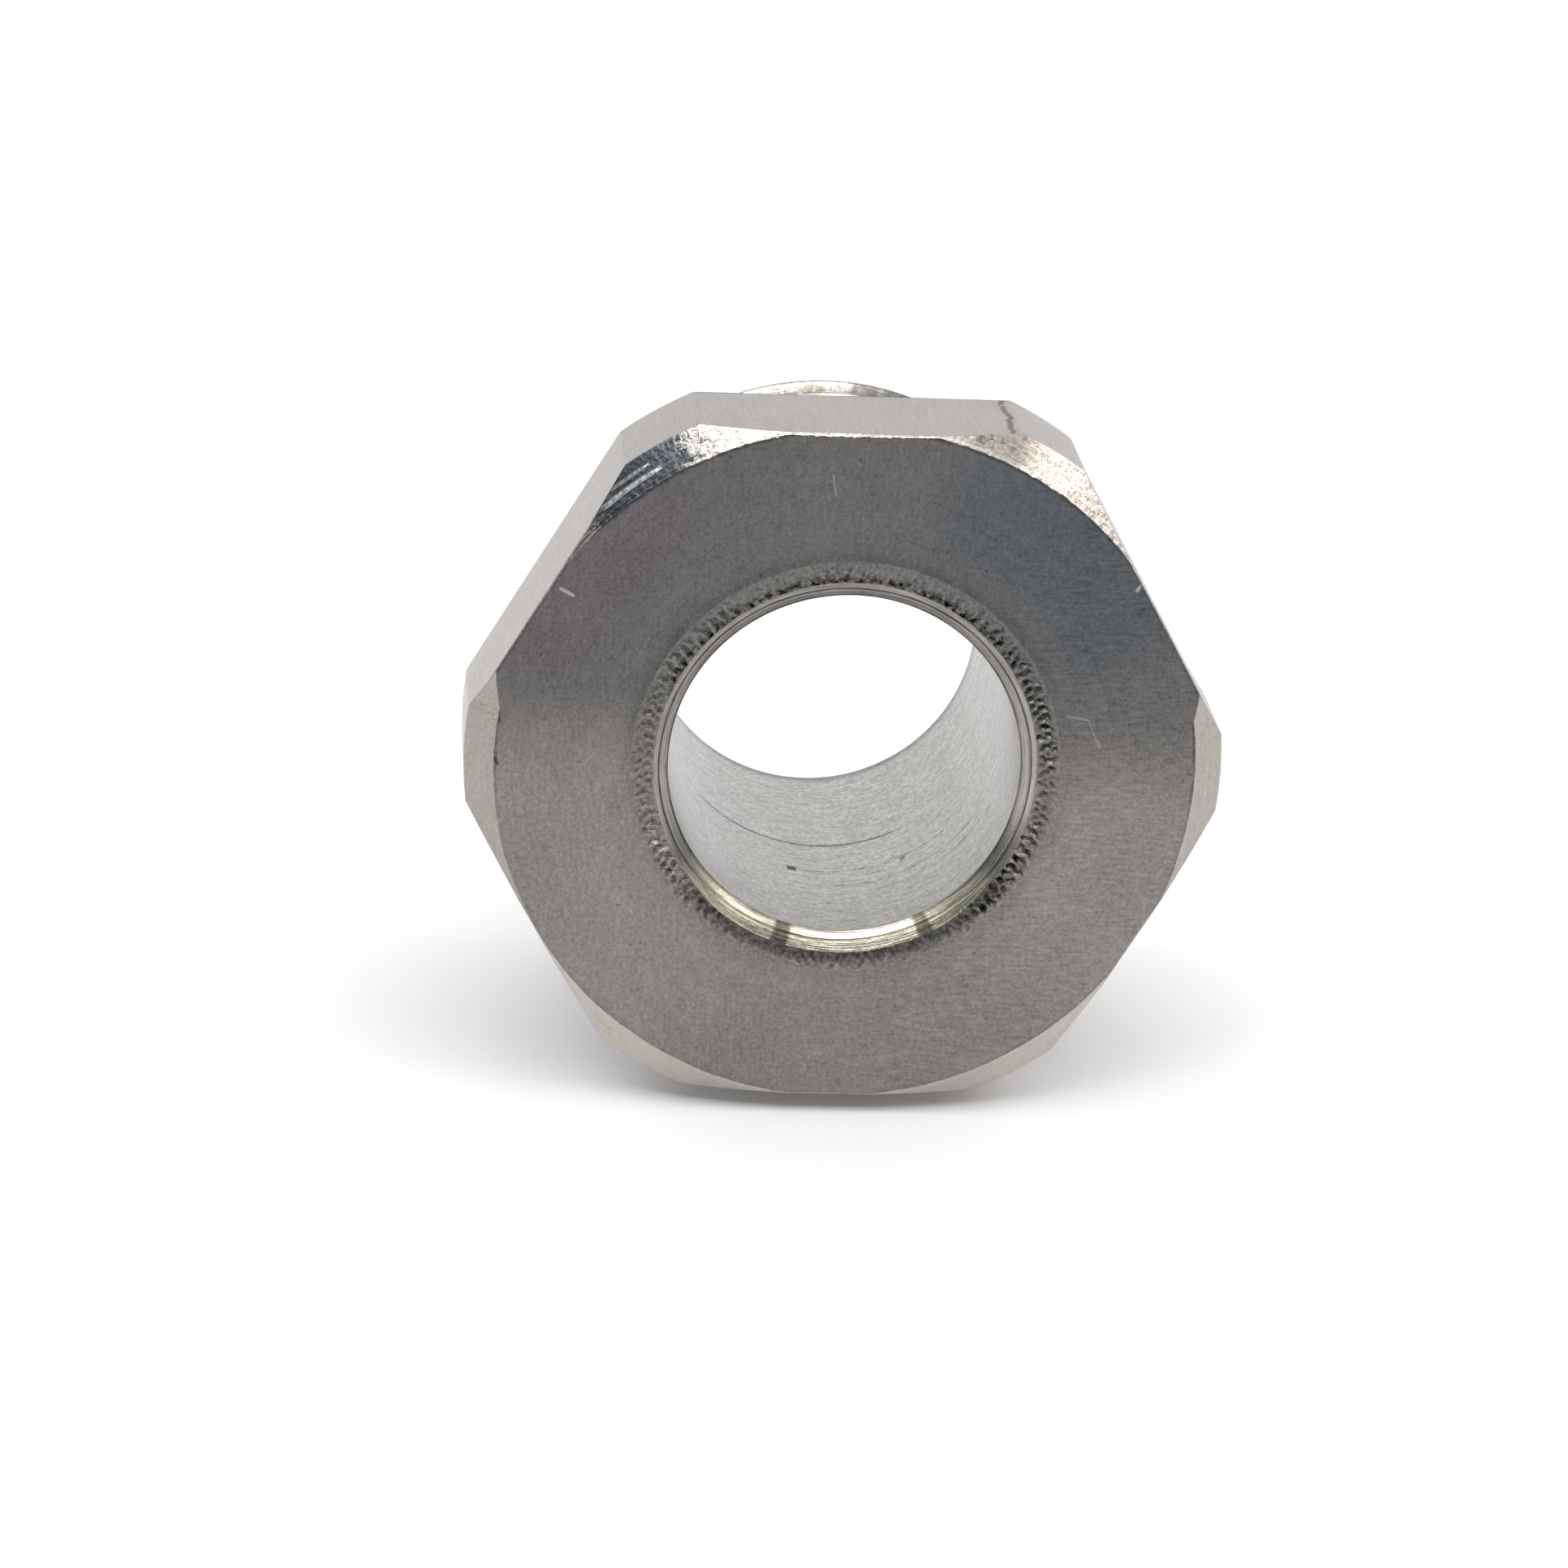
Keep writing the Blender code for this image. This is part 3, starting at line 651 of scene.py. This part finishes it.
def rubber_material():
    n = Nodes("gasket_rubber")
    grain = n.noise(n.vec(n.x, n.y, n.z), 5.0, 4, 0.65)
    bloom = n.noise(n.vec(n.times(n.x, 0.35), n.times(n.y, 0.35), n.times(n.z, 0.35)), 1.0, 3, 0.6)
    colour = n.mix(n.remap(bloom, 0.42, 0.68, 0.0, 0.5, True), (0.018, 0.018, 0.019), (0.055, 0.054, 0.052))
    colour = n.mix(n.remap(grain, 0.55, 0.75, 0.0, 0.35), colour, (0.075, 0.073, 0.070))
    return n.finish(colour, n.remap(grain, 0.3, 0.7, 0.62, 0.80), n.bump(grain, 0.45, 0.03), 0.0)


MATS = {
    "bore": bore_material(),
    "mouth": mouth_material(),
    "collar": collar_material(),
    "face": face_material(),
    "cone": cone_material(),
    "flat": flat_material("steel_flats", (0.468, 0.442, 0.417), True),
    "back": turned_material("steel_back_face", (0.44, 0.428, 0.408), 0.32, 'r', 7.0, 0.0, 0.55, 0.6, 0.018),
    "thread": thread_material(),
    "end": turned_material("steel_thread_end", (0.46, 0.445, 0.422), 0.30, 'r', 8.0, 0.0, 0.60, 0.6, 0.018),
    "nut": turned_material("steel_nut_face", (0.45, 0.44, 0.42), 0.30, 'r', 8.0, 0.0, 0.60, 0.6, 0.018),
    "nut_flat": flat_material("steel_nut_flats", (0.50, 0.49, 0.47)),
    "nut_thread": turned_material("steel_nut_thread", (0.46, 0.45, 0.43), 0.28, 'ry', 6.0, 0.0, 0.2, 0.5, 0.015),
    "washer": turned_material("steel_washer", (0.55, 0.54, 0.52), 0.24, 'r', 5.0, 0.0, 0.40, 0.5, 0.014),
    "rubber": rubber_material(),
}


# ====================================================================================================================
# Coupling body
# ====================================================================================================================
def build_body():
    special = []
    for deg, apothem in FLATS.items():
        for r in (CORNER_R, FACE_R):
            if apothem < r:
                h = math.degrees(math.acos(apothem / r))
                special += [deg - h, deg + h]
    th = columns(0.36, special)
    outer = hexagon_r(th, FLATS, CORNER_R)
    wob = smooth_noise(th, 5, 9, 14, 0.92)
    fine = smooth_noise(th, 8, 60, 16, 0.95)
    beads = smooth_noise(th, 9, 90, 30, 0.97)
    top = np.clip(1 - np.abs(np.degrees(th) - 92) / 16, 0, 1) ** 0.5
    least = 0.04 + top * (0.085 + 0.05 * beads)
    torn = np.clip(1 - np.abs(np.degrees(th) - 85) / 52, 0, 1) ** 0.5
    deg = np.degrees(th)
    reach = FACE_R + 0.085 * np.where((deg > 140) & (deg < 171), 171 - deg, 0) + 0.085 * np.where((deg > 9.5) & (deg < 40), deg - 9.5, 0)
    reach = np.where((deg < 150) & (deg > 140), FACE_R + 1.8 * np.clip((deg - 146) / 4, 0, 1), reach)
    reach = np.where((deg > 30) & (deg < 40), FACE_R + 1.74 * np.clip((34 - deg) / 4, 0, 1), reach)
    face_r = np.minimum(reach + 0.014 * wob + (0.010 + 0.016 * torn) * fine + 0.014 * torn * beads, outer - 0.05 - 0.8 * (least - 0.04))
    cone_y = np.maximum((outer - reach) / (CORNER_R - FACE_R) * CONE_LEN, least) + 0.010 * fine + 0.008 * wob
    cone_y = np.maximum(cone_y, 0.03)
    # the upper right flat falls away a little towards the back
    fall = 0.075 * np.clip((np.cos(th - math.radians(30)) - math.cos(math.radians(23.5))) / 0.03, 0, 1)
    back_in = outer - fall - 0.07 - 0.008 * wob

    # chatter round the mouth: an irregular field of short radial ticks
    rng = np.random.RandomState(27)
    waves = [(rng.randint(80, 190), rng.uniform(-13, 13), rng.uniform(0, TAU), rng.uniform(0.6, 1.0)) for _ in range(18)]
    amp = np.clip(0.95 + 0.40 * smooth_noise(th, 21, 5, 9, 0.9), 0.30, 1.4)
    side = np.clip(np.cos(th) ** 2 * 2.2, 0.42, 1.0) * np.where(np.cos(th) > 0, 1.0, 0.9)
    reach_in = 7.47 + 0.05 * smooth_noise(th, 25, 37, 12, 0.95)
    reach_out = 8.20 + 0.13 * smooth_noise(th, 26, 29, 12, 0.95)

    def chatter(r):
        field = 0.40 * np.sin(118 * th + 1.8 * smooth_noise(th, 22, 5, 6) + 1.5 * (r - 7.8))
        for k, m, p, a in waves:
            field = field + 0.34 * a * np.sin(k * th + m * (r - 7.8) + p)
        inside = np.clip((r - reach_in) / 0.06, 0, 1) * np.clip((reach_out - r) / 0.14, 0, 1)
        return field * amp * side * inside

    # the lip is broadest at the bottom, where the mouth's highlight is painted
    lip = 7.41 + 0.06 * np.clip(np.sin(th), 0, 1) + 0.16 * np.clip((np.cos(th - math.radians(269)) - math.cos(math.radians(52))) * 5, 0, 1)

    s = Section(th)
    # bore, from the threaded end to the mouth
    s.path([(BORE_R, LENGTH - 0.5, 0, "bore", 26), (BORE_R, 0.52, 0.03, "mouth", 5),
            (7.16, 0.26, 0.035, "mouth", 4), (lip, 0.07, 0.02, "collar", 1)])
    for i in range(1, 18):
        f = i / 18
        r = lip + (8.26 - lip) * f
        c = chatter(r)
        s.row(r, 0.070 * (1 - f) ** 1.3 + 0.034 * (c + 0.25), "collar", c)
    s.path([(8.26, 0.004, 0, "collar", 1), (8.33, 0.0, 0, "face", 9), (face_r, 0.0, 0.045, "cone", 4),
            (outer, cone_y, 0.045, "flat", 7), (outer - fall, HEAD_T - 0.06, 0.03, "flat", 1),
            (back_in, HEAD_T, 0.03, "back", 7), (RELIEF_R, HEAD_T, 0.18, "back", 3),
            (RELIEF_R, RELIEF_END, 0, "thread", 1)])
    ragged = 0.02 * fine
    for y in thread_rows(th, THREAD_START, LENGTH, 14):
        r = thread_r(y, th, MINOR_R, MAJOR_R, 0.151)
        r = np.minimum(r, RELIEF_R + (y - RELIEF_END))
        r = np.minimum(r, MAJOR_R - (y - (LENGTH - END_CHAMFER)) + ragged * 0.5)
        s.row(r, y, "thread")
    tip = s.r[-1]
    s.path([(tip - 0.03, LENGTH, 0, "end", 5), (BORE_R + 0.5, LENGTH, 0.04, "end", 2),
            (BORE_R, LENGTH - 0.5, 0, "bore", 1)])
    return s.mesh("coupling_body_turned", 0.0, MATS)


body = build_body()
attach(body, "coupling")
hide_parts("coupling_body")


# ====================================================================================================================
# Gasket, washer and nut, each where its solid lies
# ====================================================================================================================
def span(node):
    a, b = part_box(node)
    return a[1] / MM - FRONT_Y, b[1] / MM - FRONT_Y, (b[0] - a[0]) / MM / 2


def build_gasket():
    y0, y1, outer = span("head_gasket")
    t = y1 - y0
    th = columns(1.0, [])
    inner = 10.8
    wob = 0.025 * smooth_noise(th, 31, 3, 6)
    flash = 0.03 + 0.012 * smooth_noise(th, 33, 17, 8)
    s = Section(th)
    s.path([(inner + wob, t * 0.5, 0, "rubber", 2), (inner + wob, 0.0, 0.13, "rubber", 5),
            (outer - 0.04 + wob * 0.4, 0.0, 0.16, "rubber", 3), (outer - 0.04 + wob * 0.4, t * 0.5 - 0.05, 0, "rubber", 1),
            (outer - 0.04 + wob * 0.4 + flash, t * 0.5, 0, "rubber", 1),
            (outer - 0.04 + wob * 0.4, t * 0.5 + 0.05, 0, "rubber", 3),
            (outer - 0.04 + wob * 0.4, t, 0.16, "rubber", 5), (inner + wob, t, 0.13, "rubber", 2),
            (inner + wob, t * 0.5 + 0.01, 0, "rubber", 1)])
    return s.mesh("head_gasket_moulded", y0, MATS, 60)


def build_washer():
    y0, y1, outer = span("flat_washer")
    t = y1 - y0
    th = columns(1.0, [])
    inner = 10.75
    s = Section(th)
    burr = 0.008 * smooth_noise(th, 41, 40, 10, 0.95)
    s.path([(inner, t * 0.5, 0, "washer", 1), (inner, 0.0, 0.10, "washer", 6), (outer, 0.0, 0.14, "washer", 2),
            (outer + burr, t, 0.05, "washer", 6), (inner, t, 0.06, "washer", 1), (inner, t * 0.5 + 0.01, 0, "washer", 1)])
    return s.mesh("flat_washer_stamped", y0, MATS)


def build_nut():
    y0, y1, corner = span("lock_nut")
    t = y1 - y0
    flats = {d: 12.0 for d in (30, 90, 150, 210, 270, 330)}
    # the corners are turned down, so each flat ends short of where two flats would meet
    half = math.degrees(math.acos(12.0 / (corner - 0.02)))
    th = columns(0.75, [d + s * half for d in flats for s in (-1, 1)])
    outer = hexagon_r(th, flats, corner - 0.02)
    slope = math.tan(math.radians(20))
    face = 11.65
    clear = 0.30
    drop = np.maximum((outer - face) * slope, 0.03)
    mouth = MAJOR_R + clear + 0.15
    s = Section(th)
    s.path([(mouth, 0.0, 0, "nut", 4), (face, 0.0, 0.03, "nut", 4), (outer, drop, 0.04, "nut_flat", 5),
            (outer, t - drop, 0.04, "nut", 4), (face, t, 0.03, "nut", 4), (mouth, t, 0, "nut_thread", 1)])
    rows = list(thread_rows(th, y0, y1, 14))
    for y in reversed(rows):
        r = thread_r(y, th, MINOR_R + clear, MAJOR_R + clear, 0.151 + 0.06)
        yy = y - y0
        r = np.maximum(r, np.maximum(mouth - yy, mouth - (t - yy)))
        s.row(r, yy, "nut_thread")
    return s.mesh("lock_nut_turned", y0, MATS)


for piece, node, bod, slot_name in ((build_gasket(), "head_gasket", "coupling", "gasket_rubber"),
                                    (build_washer(), "flat_washer", "clamp_ring", "washer_stainless"),
                                    (build_nut(), "lock_nut", "nut", "nut_stainless")):
    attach(piece, bod)
    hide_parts(node)

# ====================================================================================================================
# Floor, light and camera
# ====================================================================================================================
floor_me = bpy.data.meshes.new("floor")
# the floor lies a little below the flat that the part rests on, for the dark line under its front edge
FLOOR_Z = -0.8 * MM
floor_me.from_pydata([(x, y, FLOOR_Z) for x, y in ((-40, -40), (40, -40), (40, 40), (-40, 40))], [], [(0, 1, 2, 3)])
floor = bpy.data.objects.new("floor", floor_me)
bpy.context.scene.collection.objects.link(floor)
fm = bpy.data.materials.new("floor_white")
fm.use_nodes = True
fb = fm.node_tree.nodes["Principled BSDF"]
fb.inputs["Base Color"].default_value = (0.915, 0.915, 0.92, 1)
fb.inputs["Roughness"].default_value = 0.9
fb.inputs["Specular IOR Level"].default_value = 0.0
fb.inputs["Emission Color"].default_value = (1, 1, 1, 1)
ft = fm.node_tree
f_pos = ft.nodes.new("ShaderNodeTexCoord")
f_len = ft.nodes.new("ShaderNodeVectorMath")
f_len.operation = 'LENGTH'
f_map = ft.nodes.new("ShaderNodeMapRange")
f_map.interpolation_type = 'SMOOTHSTEP'
for key, value in (("From Min", 0.25), ("From Max", 1.3), ("To Min", 0.06), ("To Max", 0.75)):
    f_map.inputs[key].default_value = value
ft.links.new(f_pos.outputs["Object"], f_len.inputs[0])
ft.links.new(f_len.outputs["Value"], f_map.inputs["Value"])
ft.links.new(f_map.outputs["Result"], fb.inputs["Emission Strength"])
floor_me.materials.append(fm)


def softbox(name, azimuth, elevation, distance, size_x, size_y, radiance, colour=(1, 1, 1)):
    """azimuth 0 is straight in front of the face, positive to its right; the panel looks at the part."""
    az, el = math.radians(azimuth), math.radians(elevation)
    d = Vector((math.sin(az) * math.cos(el), -math.cos(az) * math.cos(el), math.sin(el)))
    light = bpy.data.lights.new(name, 'AREA')
    light.shape = 'RECTANGLE'
    light.size, light.size_y = size_x, size_y
    light.energy = radiance * math.pi * size_x * size_y
    light.color = colour
    ob = bpy.data.objects.new(name, light)
    ob.location = Vector((0, 0, 0.0135)) + d * distance
    ob.rotation_euler = (-d).to_track_quat('-Z', 'Y').to_euler()
    bpy.context.scene.collection.objects.link(ob)
    return ob


softbox("front_top", 0, 59, 0.80, 0.64, 0.46, 3.4)
softbox("left_strip", -27, 47.5, 0.80, 0.17, 0.10, 8.0)
softbox("right_top", 82, 50, 0.80, 0.30, 0.42, 2.0, (1.0, 0.97, 0.93))
softbox("left_top", -80, 52, 0.80, 0.30, 0.42, 1.9, (0.97, 0.98, 1.0))
softbox("right_low", 55, 34, 0.80, 0.26, 0.22, 3.2, (1.0, 0.93, 0.86))

world = bpy.data.worlds.new("studio")
bpy.context.scene.world = world
world.use_nodes = True
wt = world.node_tree
bg = wt.nodes["Background"]
tc = wt.nodes.new("ShaderNodeTexCoord")
sp = wt.nodes.new("ShaderNodeSeparateXYZ")
wt.links.new(tc.outputs["Generated"], sp.inputs[0])
mr = wt.nodes.new("ShaderNodeMapRange")
mr.interpolation_type = 'SMOOTHSTEP'
mr.inputs["From Min"].default_value = -0.75
mr.inputs["From Max"].default_value = 0.35
mr.inputs["To Min"].default_value = 0.10
mr.inputs["To Max"].default_value = 0.95
wt.links.new(sp.outputs[1], mr.inputs["Value"])
# the backdrop above the floor's far edge is plain white
seen = wt.nodes.new("ShaderNodeLightPath")
most = wt.nodes.new("ShaderNodeMath")
most.operation = 'MAXIMUM'
wt.links.new(mr.outputs["Result"], most.inputs[0])
wt.links.new(seen.outputs["Is Camera Ray"], most.inputs[1])
wt.links.new(most.outputs[0], bg.inputs["Strength"])
bg.inputs["Color"].default_value = (0.985, 0.99, 1.0, 1)

cam_data = bpy.data.cameras.new("camera")
cam = bpy.data.objects.new("camera", cam_data)
bpy.context.scene.collection.objects.link(cam)
cam_data.sensor_width = 36.0
cam_data.lens = 133.81
cam_data.clip_start = 0.01
cam_data.clip_end = 20.0
fwd = Vector((0.0765056, 0.9435067, -0.3224003)).normalized()
up = Vector((-0.0228921, 0.3249249, 0.9454627)).normalized()
right = fwd.cross(up).normalized()
up = right.cross(fwd)
cam.matrix_world = Matrix.Translation(Vector((-19.535, -211.899 + FRONT_Y, 71.736 + AXIS_Z)) * MM) @ Matrix(
    ((right.x, up.x, -fwd.x, 0), (right.y, up.y, -fwd.y, 0), (right.z, up.z, -fwd.z, 0), (0, 0, 0, 1)))
bpy.context.scene.camera = cam
bpy.context.scene.view_settings.view_transform = 'Standard'
bpy.context.scene.view_settings.look = 'None'
